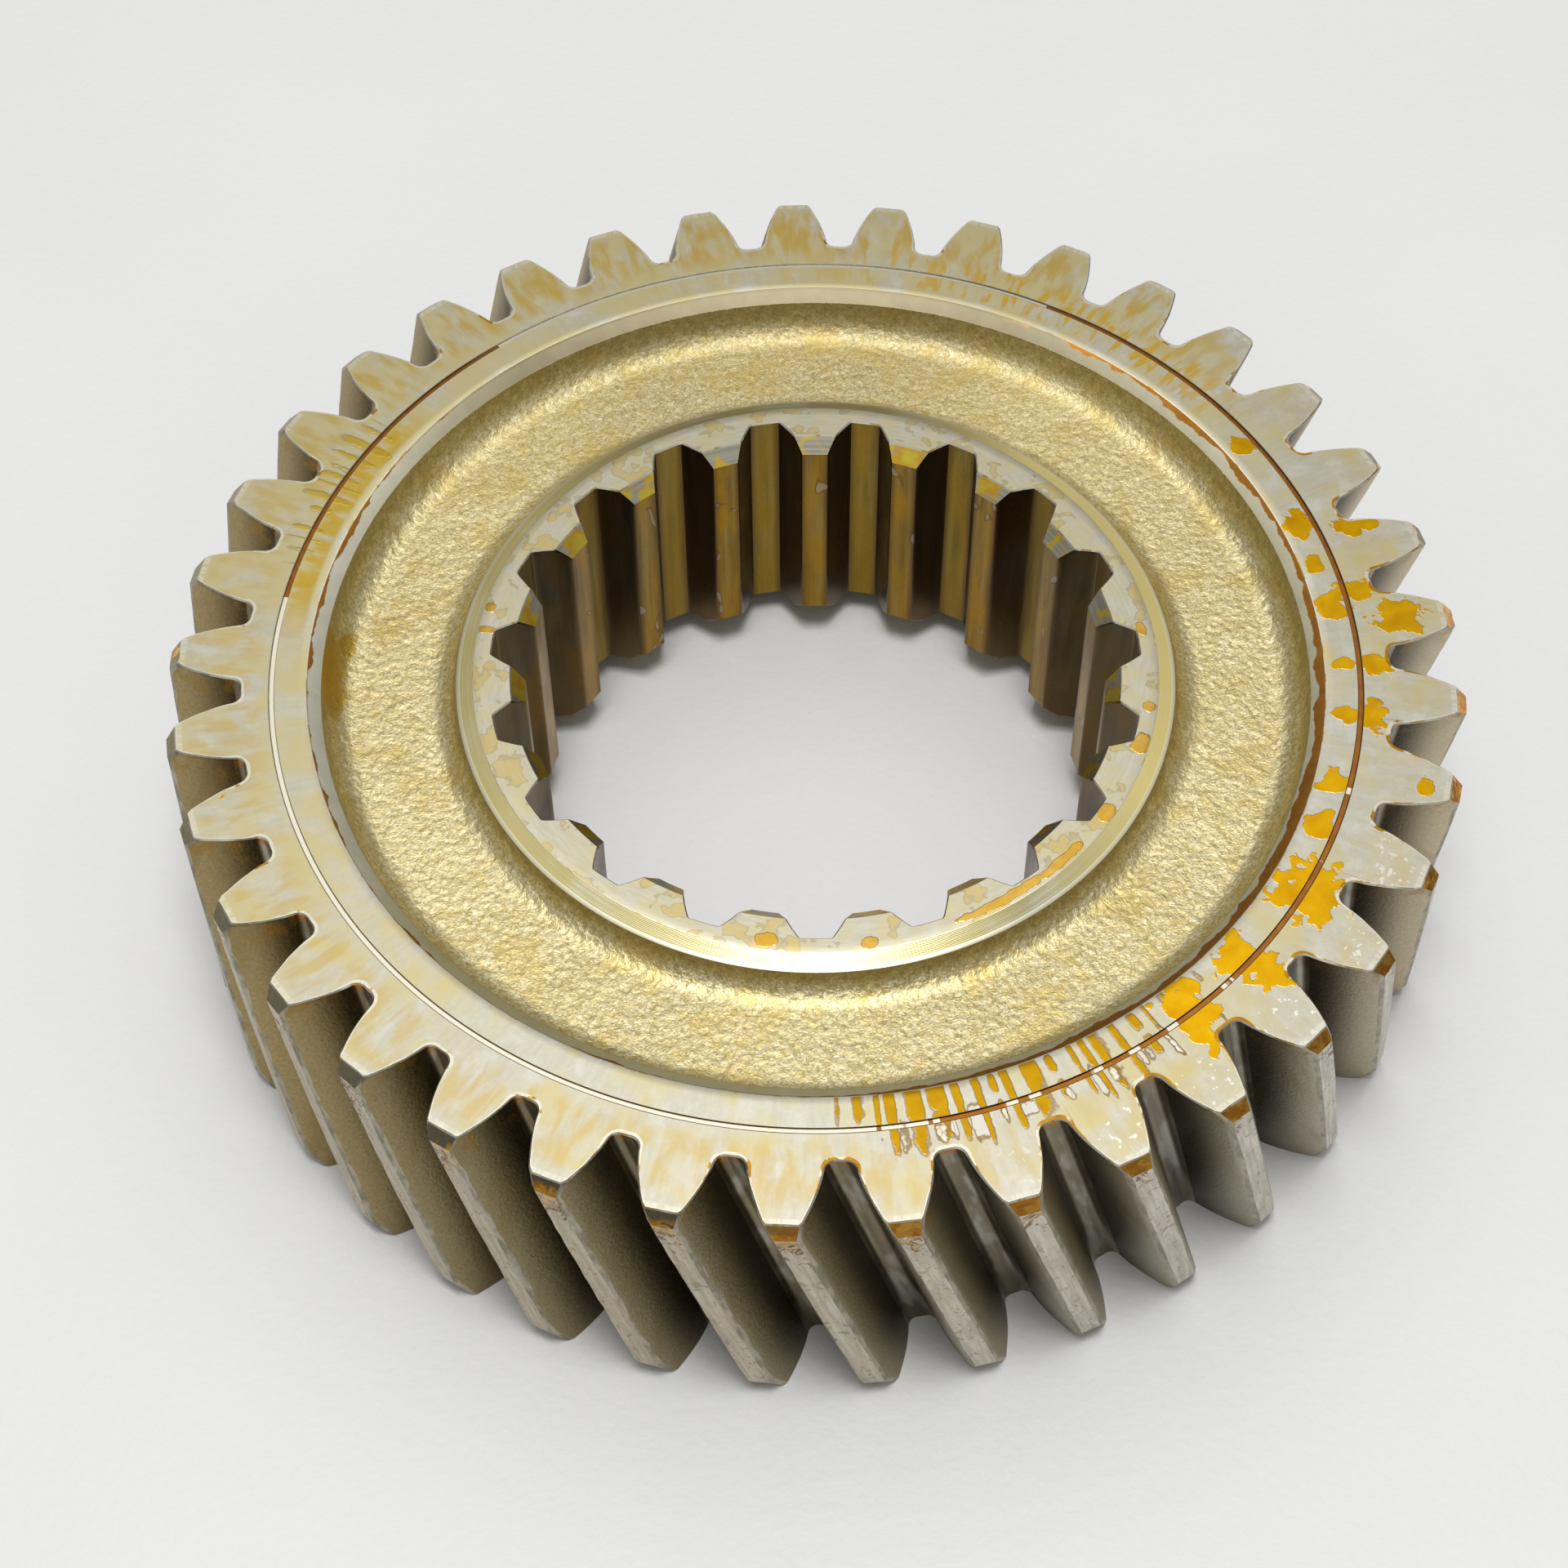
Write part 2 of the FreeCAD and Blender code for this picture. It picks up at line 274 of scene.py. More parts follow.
def tooth_ring(height, wear):
    """Section of all the teeth at a height; wear widens the bevels of some tip edges."""
    points = []
    for tooth in range(TEETH):
        centre = TOOTH_PHASE + TURN * tooth / TEETH + TWIST_PER_MM * (FACE_WIDTH - height)
        right = half_profile(height, wear[2 * tooth])
        left = half_profile(height, wear[2 * tooth + 1])
        land = np.linspace(-right[1][-1], left[1][-1], LAND_STEPS + 1)[1:-1]
        tip = np.full(len(land), right[0][-1])
        points.append(polar(right[0], centre - right[1], height))
        points.append(polar(tip, centre + land, height))
        points.append(polar(left[0][:0:-1], centre + left[1][:0:-1], height))
    return np.concatenate(points)


def tooth_slots(height):
    """Material of each column of faces between two tooth sections."""
    land = "tip_chamfer" if height > FACE_WIDTH - TIP_CHAMFER else "land"
    side = ["root"] * (ROOT_STEPS + FILLET_STEPS)
    columns = (
        side + ["flank_cw"] * FLANK_STEPS + ["tip_bevel"] + [land] * LAND_STEPS
        + ["tip_bevel"] + ["flank_ccw"] * FLANK_STEPS + side
    )
    return np.tile([SLOT[name] for name in columns], TEETH)


def tooth_heights():
    ends = [EDGE_BREAK, 0.6, 1.2, 2.2, LEAD_CHAMFER[1], 4.2, 5.0]
    top = [FACE_WIDTH - 2.4, FACE_WIDTH - TIP_CHAMFER, FACE_WIDTH - 1.0, FACE_WIDTH - 0.55]
    middle = np.arange(5.8, FACE_WIDTH - 2.6, 0.8)
    return np.concatenate([ends, middle, top, [FACE_WIDTH - EDGE_BREAK]])


def edge_wear(height):
    """Width of the bevel along each tip edge at this height."""
    places = np.stack([
        np.arange(2 * TEETH) * 7.3, np.full(2 * TEETH, 1.7), np.full(2 * TEETH, height),
    ], axis=-1)
    turned = TOOTH_PHASE + math.pi * np.arange(2 * TEETH) / TEETH
    away = np.abs(np.angle(np.exp(1j * (turned - WORN_SIDE))))
    worn = 1 + 0.9 * (away < WORN_REACH)
    return TIP_EDGE_BEVEL + worn * (0.13 * noise(places, 1.7, 3) + 0.1 * noise(places, 6.0, 5))


def end_ring(height, inside, seed):
    """The outline of an end face, with its edge broken by an uneven amount."""
    section = tooth_ring(inside, edge_wear(inside))
    uneven = EDGE_BREAK * (1 + 0.35 * noise(section, 1.4, seed) + 0.25 * noise(section, 5.0, seed))
    moved = inward(section, uneven)
    moved[:, 2] = height
    return moved


def rim_line_width(outline):
    """Width of the rubbed line inside the outline of the upper face, widest at the roots."""
    radius = np.hypot(outline[:, 0], outline[:, 1])
    at_root = np.clip((75.0 - radius) / 3.0, 0, 1)
    return 0.12 + 0.28 * at_root + 0.07 * noise(outline, 1.1, 31) * (1 + at_root)


# --- the forged recess, hub and spline

RECESS_COUNT = 84 * SPLINES
SPLINE_FLANK_STEPS, SPLINE_CREST_STEPS, SPLINE_ROOT_STEPS = 9, 8, 8


def rounded(corners, step):
    """A half-section line through (radius, height, fillet) corners, divided by step."""
    corners = [np.array(corner, float) for corner in corners]
    path = [corners[0][:2]]
    for before, corner, after in zip(corners, corners[1:], corners[2:]):
        here, fillet = corner[:2], corner[2]
        back = (before[:2] - here) / np.linalg.norm(before[:2] - here)
        ahead = (after[:2] - here) / np.linalg.norm(after[:2] - here)
        half = math.acos(np.clip(back @ ahead, -1, 1)) / 2
        if fillet == 0:
            path.append(here)
            continue
        middle = here + (back + ahead) / np.linalg.norm(back + ahead) * fillet / math.sin(half)
        start = here + back * fillet / math.tan(half)
        end = here + ahead * fillet / math.tan(half)
        for share in np.linspace(0, 1, 9):
            spoke = (start - middle) * (1 - share) + (end - middle) * share
            path.append(middle + spoke / np.linalg.norm(spoke) * fillet)
    path.append(corners[-1][:2])
    lengths = [np.linalg.norm(b - a) for a, b in zip(path, path[1:])]
    along = np.concatenate([[0], np.cumsum(lengths)])
    places = np.linspace(0, along[-1], max(2, round(along[-1] / step)) + 1)
    radii = np.interp(places, along, [p[0] for p in path])
    heights = np.interp(places, along, [p[1] for p in path])
    return np.stack([radii, heights], axis=-1)


def shot_blasted(points):
    """Height of the blasted and forged skin over the plain shape, in mm."""
    fine = noise(points, 0.56, 11) + 0.6 * noise(points, 0.4, 12) + 0.4 * noise(points, 0.85, 13)
    slow = noise(points, 3.4, 14) + noise(points, 9.0, 15)
    return 0.044 * fine + 0.025 * slow


def forged_rings(side):
    """Rings of the recess from its chamfer to the hub's bevel, on an upper side."""
    outer = RECESS_RADIUS - RECESS_CHAMFER[0]
    hub = HUB_RADIUS + HUB_BEVEL[0]
    floor = FACE_WIDTH - RECESS_DEPTHS[side]
    bevel_foot = FACE_WIDTH - HUB_DROPS[side] - HUB_BEVEL[1]
    line = rounded([
        (outer, FACE_WIDTH - RECESS_CHAMFER[1], 0),
        (outer - RECESS_DRAFT, floor, RECESS_FILLET),
        (hub + RECESS_DRAFT, floor, RECESS_FILLET),
        (hub, bevel_foot, 0),
    ], GRAIN_STEP)
    along = np.gradient(line, axis=0)
    normals = np.stack([along[:, 1], -along[:, 0]], axis=-1)
    normals /= np.linalg.norm(normals, axis=1)[:, None]
    fade = np.minimum(np.arange(len(line)), np.arange(len(line))[::-1])
    fade = np.clip(fade / 3.0, 0, 1)
    angle = TURN * np.arange(RECESS_COUNT) / RECESS_COUNT
    rings = []
    for (radius, height), normal, share in zip(line, normals, fade):
        base = polar(radius, angle, height)
        lift = share * shot_blasted(base + (0 if side == "top" else 200))
        rings.append(polar(radius + lift * normal[0], angle, height + lift * normal[1]))
    return rings


def turned_rings(start, end, grooves, depth, steps=4):
    """Rings of a turned bevel with the fine grooves that the tool left."""
    start, end = np.array(start), np.array(end)
    along = end - start
    normal = np.array([along[1], -along[0]]) / np.linalg.norm(along)
    rings = []
    for number in range(grooves * steps + 1):
        share = number / (grooves * steps)
        wave = math.sin(math.pi * (number % steps) / steps)
        radius, height = start + along * share - normal * depth * wave
        rings.append(circle(radius, height, RECESS_COUNT))
    return rings


def spline_ring(height, depth):
    """Section of the splined bore, at a height and at a depth below the nearer hub face."""
    crest = SPLINE_MINOR + max(0.0, SPLINE_CHAMFER - depth)
    start, end = crest + SPLINE_CORNER, SPLINE_MAJOR - SPLINE_CORNER
    radii = np.linspace(start, end, SPLINE_FLANK_STEPS + 1)
    angles = half_spline_space(radii)
    crest_half = half_spline_space(start) + SPLINE_CORNER / crest
    root_half = half_spline_space(end) - SPLINE_CORNER / SPLINE_MAJOR
    points = []
    for space in range(SPLINES):
        centre = TURN * space / SPLINES
        root = np.linspace(-root_half, root_half, SPLINE_ROOT_STEPS + 1)
        points.append(polar(crest, centre - crest_half, height)[None])
        points.append(polar(radii, centre - angles, height))
        points.append(polar(SPLINE_MAJOR, centre + root, height))
        points.append(polar(radii[::-1], centre + angles[::-1], height))
        following = TURN / SPLINES - crest_half
        crests = np.linspace(crest_half, following, SPLINE_CREST_STEPS + 1)[:-1]
        points.append(polar(crest, centre + crests, height))
    return np.concatenate(points)


def spline_mouth(height, inside):
    """The spline's outline in a hub face, wider than the section inside by its broken edge."""
    widened = inward(spline_ring(inside, SPLINE_EDGE), SPLINE_EDGE, -1)
    widened[:, 2] = height
    return widened


def spline_slots(depth):
    crest = "spline_chamfer" if depth < SPLINE_CHAMFER else "spline_crest"
    columns = (
        ["spline_crest"] + ["spline_flank"] * SPLINE_FLANK_STEPS
        + ["spline_root"] * (SPLINE_ROOT_STEPS + 2)
        + ["spline_flank"] * SPLINE_FLANK_STEPS + ["spline_crest"] + [crest] * SPLINE_CREST_STEPS
    )
    return np.tile([SLOT[name] for name in columns], SPLINES)


RING_START = TOOTH_PHASE - math.pi / TEETH


def circles(rows, count=RECESS_COUNT, start=0.0):
    """Rings from (radius, height, slot) rows."""
    return [(circle(radius, height, count, start), slot) for radius, height, slot in rows]


def end_face_rings(side):
    """(points, slot) rings of an end, from the teeth in to the hub face, on an upper side."""
    inner, ring_floor, wall = RING_RADIUS - RING_WIDTH, FACE_WIDTH - RING_DEPTH, 0.06
    groove = (
        (RING_RADIUS + 1.2, FACE_WIDTH, "face"),
        (RING_RADIUS + 0.1, FACE_WIDTH, "face"),
        (RING_RADIUS, FACE_WIDTH, "ring_wall"),
        (RING_RADIUS - wall, ring_floor, "ring_wall"),
        (inner + wall, ring_floor, "ring"),
        (inner, FACE_WIDTH, "ring_wall"),
        (inner - wall, FACE_WIDTH, "ring_wall"),
        (inner - 1.2, FACE_WIDTH, "face"),
    )
    plain = ((RING_RADIUS, FACE_WIDTH, "face"),)
    rings = circles(groove if side == "top" else plain, OUTER_COUNT, RING_START)
    chamfer_foot = RECESS_RADIUS - RECESS_CHAMFER[0] + 0.05
    rings += circles((
        (RECESS_RADIUS + 1, FACE_WIDTH, "face"),
        (RECESS_RADIUS + 0.07, FACE_WIDTH, "face"),
        (RECESS_RADIUS - 0.07, FACE_WIDTH - 0.05, "edge"),
        (chamfer_foot, FACE_WIDTH - RECESS_CHAMFER[1] + 0.03, "recess_chamfer"),
    ))
    rings += [(ring, "forged") for ring in forged_rings(side)]
    hub_height = FACE_WIDTH - HUB_DROPS[side]
    foot_radius, foot_height = HUB_RADIUS + HUB_BEVEL[0], hub_height - HUB_BEVEL[1]
    rings += circles(((foot_radius - 0.03, foot_height + 0.02, "hub_bevel"),))
    lip, bevel_top = (foot_radius - 0.45, foot_height + 0.2), (HUB_RADIUS + 0.04, hub_height - 0.02)
    rings += [(ring, "hub_bevel") for ring in turned_rings(lip, bevel_top, 9, 0.018)]
    return rings + circles((
        (HUB_RADIUS - 0.04, hub_height, "edge"),
        (SPLINE_MAJOR + 1.0, hub_height, "hub_face"),
    ))


def upside_down(points, shift):
    """Puts a ring made for the upper side on the lower side, turned by an angle."""
    x, y, z = points.T
    cosine, sine = math.cos(shift), math.sin(shift)
    return np.stack([x * cosine - y * sine, x * sine + y * cosine, FACE_WIDTH - z], axis=-1)


def gear_surface():
    skin = Surface()
    skin.ring(end_ring(0.0, EDGE_BREAK, 21))
    previous = None
    for height in tooth_heights():
        slots = "edge" if previous is None else tooth_slots((height + previous) / 2)
        skin.ring(tooth_ring(height, edge_wear(height)), slots)
        previous = height
    outline = end_ring(FACE_WIDTH, FACE_WIDTH - EDGE_BREAK, 22)
    skin.ring(outline, "edge")
    skin.ring(inward(outline, rim_line_width(outline)), "rim_line")
    for points, slot in end_face_rings("top"):
        skin.ring(points, slot)

    top = FACE_WIDTH - HUB_DROPS["top"]
    bottom = HUB_DROPS["bottom"]
    spline_heights = np.concatenate([
        [top - SPLINE_EDGE, top - 0.7, top - 1.3, top - SPLINE_CHAMFER],
        np.linspace(top - SPLINE_CHAMFER - 1, bottom + SPLINE_CHAMFER + 1, 30),
        [bottom + SPLINE_CHAMFER, bottom + 1.3, bottom + 0.7, bottom + SPLINE_EDGE],
    ])
    skin.ring(spline_mouth(top, top - SPLINE_EDGE), "hub_face")
    previous = None
    for height in spline_heights:
        slots = "edge"
        if previous is not None:
            between = (height + previous) / 2
            slots = spline_slots(min(top - between, between - bottom))
        skin.ring(spline_ring(height, min(top - height, height - bottom)), slots)
        previous = height
    skin.ring(spline_mouth(bottom, bottom + SPLINE_EDGE), "edge")

    lower = end_face_rings("bottom")
    shift = TWIST_PER_MM * FACE_WIDTH
    slot = "hub_face"
    for number, (points, next_slot) in reversed(list(enumerate(lower))):
        skin.ring(upside_down(points, shift if number == 0 else 0), slot)
        slot = next_slot
    skin.close("face")
    return skin


def add_object(name, data):
    obj = bpy.data.objects.new(name, data)
    bpy.context.scene.collection.objects.link(obj)
    return obj


def build_mesh(name, skin):
    points = np.concatenate(skin.points) / 1000
    faces = np.concatenate(skin.faces)
    slots = np.concatenate(skin.slots)
    sizes = np.where(faces[:, 2] == faces[:, 3], 3, 4)
    kept = np.ones(faces.shape, bool)
    kept[:, 3] = sizes == 4
    mesh = bpy.data.meshes.new(name)
    mesh.vertices.add(len(points))
    mesh.vertices.foreach_set("co", points.astype(np.float32).ravel())
    mesh.loops.add(int(sizes.sum()))
    mesh.loops.foreach_set("vertex_index", faces[kept].astype(np.int32))
    mesh.polygons.add(len(faces))
    starts = np.concatenate([[0], np.cumsum(sizes)[:-1]])
    mesh.polygons.foreach_set("loop_start", starts.astype(np.int32))
    mesh.polygons.foreach_set("material_index", slots.astype(np.int32))
    mesh.update(calc_edges=True)
    mesh.polygons.foreach_set("use_smooth", np.ones(len(faces), bool))
    mesh.set_sharp_from_angle(angle=CREASE)
    return add_object(name, mesh)


# --- materials

# Values given by_angle either place oil where the photo shows it, or (flanks, lands, bevels,
# edges, recess, ring) make up for studio light that isn't the photo's.


class Paint:
    """One procedural material on the gear. Sizes are in mm, angles in degrees round the axis."""

    def __init__(self, name):
        self.material = bpy.data.materials.new(name)
        self.material.use_nodes = True
        tree = self.material.node_tree
        self.nodes, self.links = tree.nodes, tree.links
        self.colour = None
        metres = self.node("TexCoord", {})["Object"]
        self.place = self.node("VectorMath", {0: metres, "Scale": 1000}, operation="SCALE")[0]
        self.x, self.y, self.z = self.node("SeparateXYZ", {0: self.place})
        square = self.plus(self.times(self.x, self.x), self.times(self.y, self.y))
        self.radius = self.calc("SQRT", square)
        self.angle = self.calc("DEGREES", self.calc("ARCTAN2", self.y, self.x))

    def put(self, node, inputs):
        """Sets or links sockets, from {number or name: value, colour or another output}."""
        for key, value in inputs.items():
            socket = node.inputs[key]
            if isinstance(value, bpy.types.NodeSocket):
                self.links.new(value, socket)
            elif isinstance(value, tuple) and socket.type == "RGBA":
                socket.default_value = (*value, 1)
            else:
                socket.default_value = value

    def node(self, kind, inputs, **settings):
        """Adds a node and gives its outputs."""
        node = self.nodes.new("ShaderNode" + kind)
        for name, value in settings.items():
            setattr(node, name, value)
        self.put(node, inputs)
        return node.outputs

    def calc(self, operation, *values):
        return self.node("Math", dict(enumerate(values)), operation=operation)[0]

    plus = partialmethod(calc, "ADD")
    minus = partialmethod(calc, "SUBTRACT")
    times = partialmethod(calc, "MULTIPLY")
    ratio = partialmethod(calc, "DIVIDE")
    larger = partialmethod(calc, "MAXIMUM")

    def both(self, *values):
        return reduce(self.times, values)

    def either(self, *values):
        return reduce(self.larger, values)

    def around(self, along, across=None, height=None, lean=0, at_radius=70):
        """Coordinates that follow the gear, in units of a length round it, outwards and up.

        lean turns them with height; HELIX_LEAN follows the teeth.
        """
        turned = self.calc("RADIANS", self.angle)
        if lean:
            turned = self.plus(turned, self.times(self.z, lean))
        inputs = {2: 0}
        for socket, operation in enumerate(("COSINE", "SINE")):
            inputs[socket] = self.times(self.calc(operation, turned), at_radius / along)
        for value, length in ((self.radius, across), (self.z, height)):
            if length:
                inputs[2] = self.plus(inputs[2], self.ratio(value, length))
        return self.node("CombineXYZ", inputs)[0]

    def noise(self, size=1, detail=2, rough=0.5, place=None, bend=0):
        """Noise from 0 to 1 around 0.5, with lumps of this size."""
        return self.node("TexNoise", {
            "Vector": place or self.place, "Scale": 1 / size, "Detail": detail,
            "Roughness": rough, "Distortion": bend,
        })["Fac"]

    def streaks(self, detail, *where, rough=0.5, bend=0):
        """Noise in lumps of the lengths that around() takes."""
        return self.noise(1, detail, rough, self.around(*where), bend)

    def between(self, value, low, high):
        """0 below low, 1 above high and a smooth step between; low may be the larger."""
        (start, first), (end, last) = sorted([(low, 0), (high, 1)])
        return self.node("MapRange", {
            "Value": value, "From Min": start, "From Max": end, "To Min": first, "To Max": last,
        }, interpolation_type="SMOOTHSTEP")["Result"]

    def over(self, value, level, soft):
        """How far value is over a level that may itself vary, 0 to 1."""
        return self.between(self.minus(value, level), -soft, soft)

    def mix(self, share, first, second, kind="MIX"):
        inputs = {0: share, 6: first, 7: second}
        return self.node("Mix", inputs, data_type="RGBA", blend_type=kind)[2]

    def blend(self, share, first, second):
        """Number that goes from first to second."""
        return self.node("Mix", {0: share, 2: first, 3: second})[0]

    def by_angle(self, stops):
        """A number that changes round the gear, from {degrees: value} in rising order."""
        node = self.nodes.new("ShaderNodeValToRGB")
        self.put(node, {0: self.ratio(self.plus(self.angle, 180), 360)})
        elements = node.color_ramp.elements
        while len(elements) < len(stops):
            elements.new(1)
        for element, (degrees, value) in zip(elements, stops.items()):
            element.position = (degrees + 180) / 360
            element.color = (value, value, value, 1)
        return node.outputs["Color"]

    def fingers(self, count, shift, middle, reach):
        """Round-ended fingers side by side round the rim: 1 along each, -1 between them."""
        wobble = self.streaks(2, 4)
        turns = self.plus(self.times(self.angle, count / 360), shift)
        turns = self.plus(turns, self.times(wobble, 2.6))
        wave = self.calc("COSINE", self.times(turns, TURN))
        finger = self.calc("FLOOR", self.plus(turns, 0.5))
        chance = self.node("TexWhiteNoise", {"W": finger}, noise_dimensions="1D")["Value"]
        longest = self.blend(chance, reach * 0.35, reach * 1.4)
        out = self.ratio(self.minus(self.radius, middle), longest)
        ends = self.times(self.calc("POWER", self.calc("ABSOLUTE", out), 4), 1.2)
        rough = self.times(self.minus(self.noise(0.9, 2), 0.5), 1.1)
        return self.plus(self.minus(wave, ends), rough)

    def from_space(self, count, radius, shift=0):
        """Distance in mm round the gear from the middle of the nearest of count spaces."""
        turns = self.plus(self.times(self.angle, count / 360), shift)
        nearest = self.calc("ROUND", turns)
        away = self.calc("ABSOLUTE", self.minus(turns, nearest))
        return self.times(away, TURN * radius / count)

    def dried(self, value, level, edge, soft):
        """How far value is over a level, and the outline just below that level."""
        inside = self.over(value, level, soft)
        wider = self.over(value, self.minus(level, edge), soft)
        return inside, self.minus(wider, inside)

    def patches(self, places, ragged=0.9, soft=0.06):
        """Ragged oil patches, from (degrees, radius, half width round, half width out)."""
        wobble = self.times(self.minus(self.noise(2.2, 3), 0.5), ragged * 2)
        covered = []
        for degrees, radius, round_half, out_half in places:
            turned = self.calc("WRAP", self.minus(self.angle, degrees), 180, -180)
            along = self.times(turned, math.radians(radius) / round_half)
            out = self.ratio(self.minus(self.radius, radius), out_half)
            reach = self.calc("SQRT", self.plus(self.times(along, along), self.times(out, out)))
            covered.append(self.between(self.plus(reach, wobble), 1.02 + soft, 1.02 - soft))
        return self.either(*covered)

    def cover(self, colour, *shares):
        """Lays a colour over what is there, where all the shares are high."""
        self.colour = self.mix(self.both(*shares), self.colour, colour)

    def tint(self, factor):
        self.colour = self.mix(1, self.colour, factor, "MULTIPLY")

    def upper_side(self):
        return self.between(self.z, 20, 22)

    def speckle(self, size, amount):
        """Makes the colour lighter and darker in lumps of this size."""
        low, high = (max(0, 1 - amount),) * 3, (1 + amount,) * 3
        self.tint(self.mix(self.noise(size, 3, 0.6), low, high))

    def bump(self, height, depth):
        """Small relief of this depth in mm."""
        return self.node("Bump", {"Distance": depth / 1000, "Height": height})["Normal"]

    def done(self, roughness, normal=None, coat=0, metallic=1):
        """The material, finished with the colour that has built up."""
        inputs = {"Base Color": self.colour, "Roughness": roughness, "Metallic": metallic,
                  "Coat Weight": coat, "Coat Roughness": 0.1}
        if normal is not None:
            inputs["Normal"] = normal
        self.put(self.nodes["Principled BSDF"], inputs)
        return self.material


HELIX_LEAN = TWIST_PER_MM
BRIGHT_STEEL = (0.72, 0.69, 0.58)
FILM = (0.575, 0.495, 0.255)
OCHRE_OIL = (0.5, 0.345, 0.07)
DRIED_EDGE = (0.24, 0.15, 0.05)

# Oil patches on the upper rim face: degrees, radius, half width round, half width out.
RIM_PATCHES = (
    (14, 66, 2, 2), (12, 72.5, 1.5, 3), (4, 69, 1.5, 3), (2, 66, 2.5, 2), (0, 74, 3, 3),
    (-6, 70, 1.5, 2.5), (-6, 66, 1, 1.5), (8, 65.5, 1.5, 1), (-13, 69.5, 2.5, 1.5), (-13, 66, 1, 2),
    (-20, 77, 1.5, 1), (-22, 66, 2, 1.5), (-28, 66, 2, 2), (-36, 68.5, 4.5, 4.5), (-47, 67, 3, 3),
    (-46, 71, 2, 3), (-55, 67.5, 3, 3.5), (-56, 71, 1.5, 2.5), (27, 66, 1.5, 1.5), (190, 77, 3, 2),
)


def machined_face():
    """Ground rim face: pale steel under thin oil that has dried in fingers and patches."""
    p = Paint("machined_face")
    cloud = p.noise(3, 4, 0.6)
    smear = p.streaks(3, 0.7, 6, rough=0.6)
    p.colour = p.mix(p.between(smear, 0.3, 0.7), (0.51, 0.485, 0.385), (0.56, 0.535, 0.435))
    p.cover((0.6, 0.585, 0.515), p.between(cloud, 0.45, 0.72))
    p.speckle(0.6, 0.08)
    level = p.by_angle({
        -180: 0.43, -150: 0.48, -125: 0.58, -95: 0.56, -60: 0.56, -40: 0.62, -10: 0.64, 25: 0.52,
        50: 0.44, 100: 0.4, 135: 0.37, 160: 0.38, 180: 0.43,
    })
    film = p.over(p.streaks(2, 6, 5, bend=0.6), level, 0.18)
    p.cover(FILM, film, 0.9)
    stained = p.by_angle({-150: 0.5, -95: 0.55, -60: 0.2, 30: 0.2, 45: 0.85, 135: 0.8, 160: 0.5})
    stain = p.over(p.streaks(3, 1.7, 5.5, bend=0.15), 0.52, 0.13)
    teeth = p.between(p.radius, 68.4, 71.5), p.between(p.radius, 79.3, 77.5)
    p.cover((0.53, 0.365, 0.075), stain, stained, *teeth)
    smeared = p.by_angle({28: 0, 40: 0.85, 66: 0.85, 85: 0.25, 120: 0})
    smears = p.over(p.streaks(3, 1.3, 5, bend=0.15), 0.54, 0.05)
    rim = p.between(p.radius, 64.6, 65.6), p.between(p.radius, 73, 70)
    p.cover((0.6, 0.37, 0.03), smears, smeared, *rim)
    unseen = p.colour

    level = p.by_angle({-96: 2.5, -91: 0, -74: 0, -66: 0.25, -58: 0.85, -48: 1.1, -44: 2.5})
    inner, inner_edge = p.dried(p.fingers(180, 0, 65, 2.9), level, 0.35, 0.14)
    level = p.by_angle({
        -90: 2.5, -87: 0.45, -70: 0.35, -63: 0.7, -54: 1, -47: 2.5, 138: 2.5, 143: 0.5, 158: 0.6,
        170: 2.5,
    })
    outer, outer_edge = p.dried(p.fingers(180, 0, 68.6, 3.4), level, 0.35, 0.14)
    fingers, edges = p.either(inner, outer), p.either(inner_edge, outer_edge)
    on_left = p.between(p.calc("ABSOLUTE", p.angle), 120, 130)
    oil = p.mix(p.noise(2, 2), (0.36, 0.17, 0.002), (0.53, 0.31, 0.006))
    oil = p.mix(on_left, oil, p.mix(p.noise(2, 2), (0.54, 0.36, 0.03), (0.62, 0.48, 0.12)))
    edge_colour = p.mix(on_left, DRIED_EDGE, (0.4, 0.32, 0.14))
    p.cover(edge_colour, edges, 0.7)
    p.cover(oil, fingers)
    arc = p.by_angle({136: 0, 142: 1, 166: 1, 176: 0})
    arc = p.both(arc, p.between(p.radius, 64.5, 65.1), p.between(p.radius, 67.9, 67.3))
    arc = p.both(arc, p.over(p.streaks(3, 2.2, 6), 0.42, 0.08))
    p.cover(p.mix(p.noise(1.6, 2), (0.5, 0.31, 0.015), (0.62, 0.45, 0.07)), arc, 0.9)

    level = p.by_angle({-92: 2.5, -86: 0.8, -62: 0.8, -54: 1, -46: 2.5})
    bare, bare_edge = p.dried(p.fingers(121, 0.4, 69.4, 3), level, 0.35, 0.1)
    p.cover(DRIED_EDGE, bare_edge, 0.8)
    p.cover((0.6, 0.58, 0.5), bare)
    at_right = p.both(p.between(p.angle, -85, -65), p.between(p.angle, -15, -35))
    flecks = p.both(p.over(p.noise(0.9, 3), 0.64, 0.015), p.between(p.radius, 72.5, 74), at_right)
    p.cover((0.74, 0.72, 0.64), flecks)

    patches = p.patches(RIM_PATCHES, 1.3)
    amber = p.mix(p.noise(2.6, 3), (0.46, 0.19, 0.001), (0.78, 0.47, 0.004))
    p.cover(amber, patches)
    upper = p.upper_side()
    p.colour = p.mix(upper, unseen, p.colour)
    scallops = p.streaks(1, 0.45)
    polished = p.both(p.between(p.radius, 79.05, 79.3), p.between(scallops, 0.3, 0.6))
    p.cover(BRIGHT_STEEL, polished, 0.6)
    wet = p.both(p.either(patches, fingers), upper)
    roughness = p.blend(wet, p.blend(cloud, 0.36, 0.5), 0.3)
    relief = p.plus(p.times(smear, 0.35), p.times(wet, 1.5))
    return p.done(roughness, p.bump(relief, 0.012), p.both(wet, 0.04))


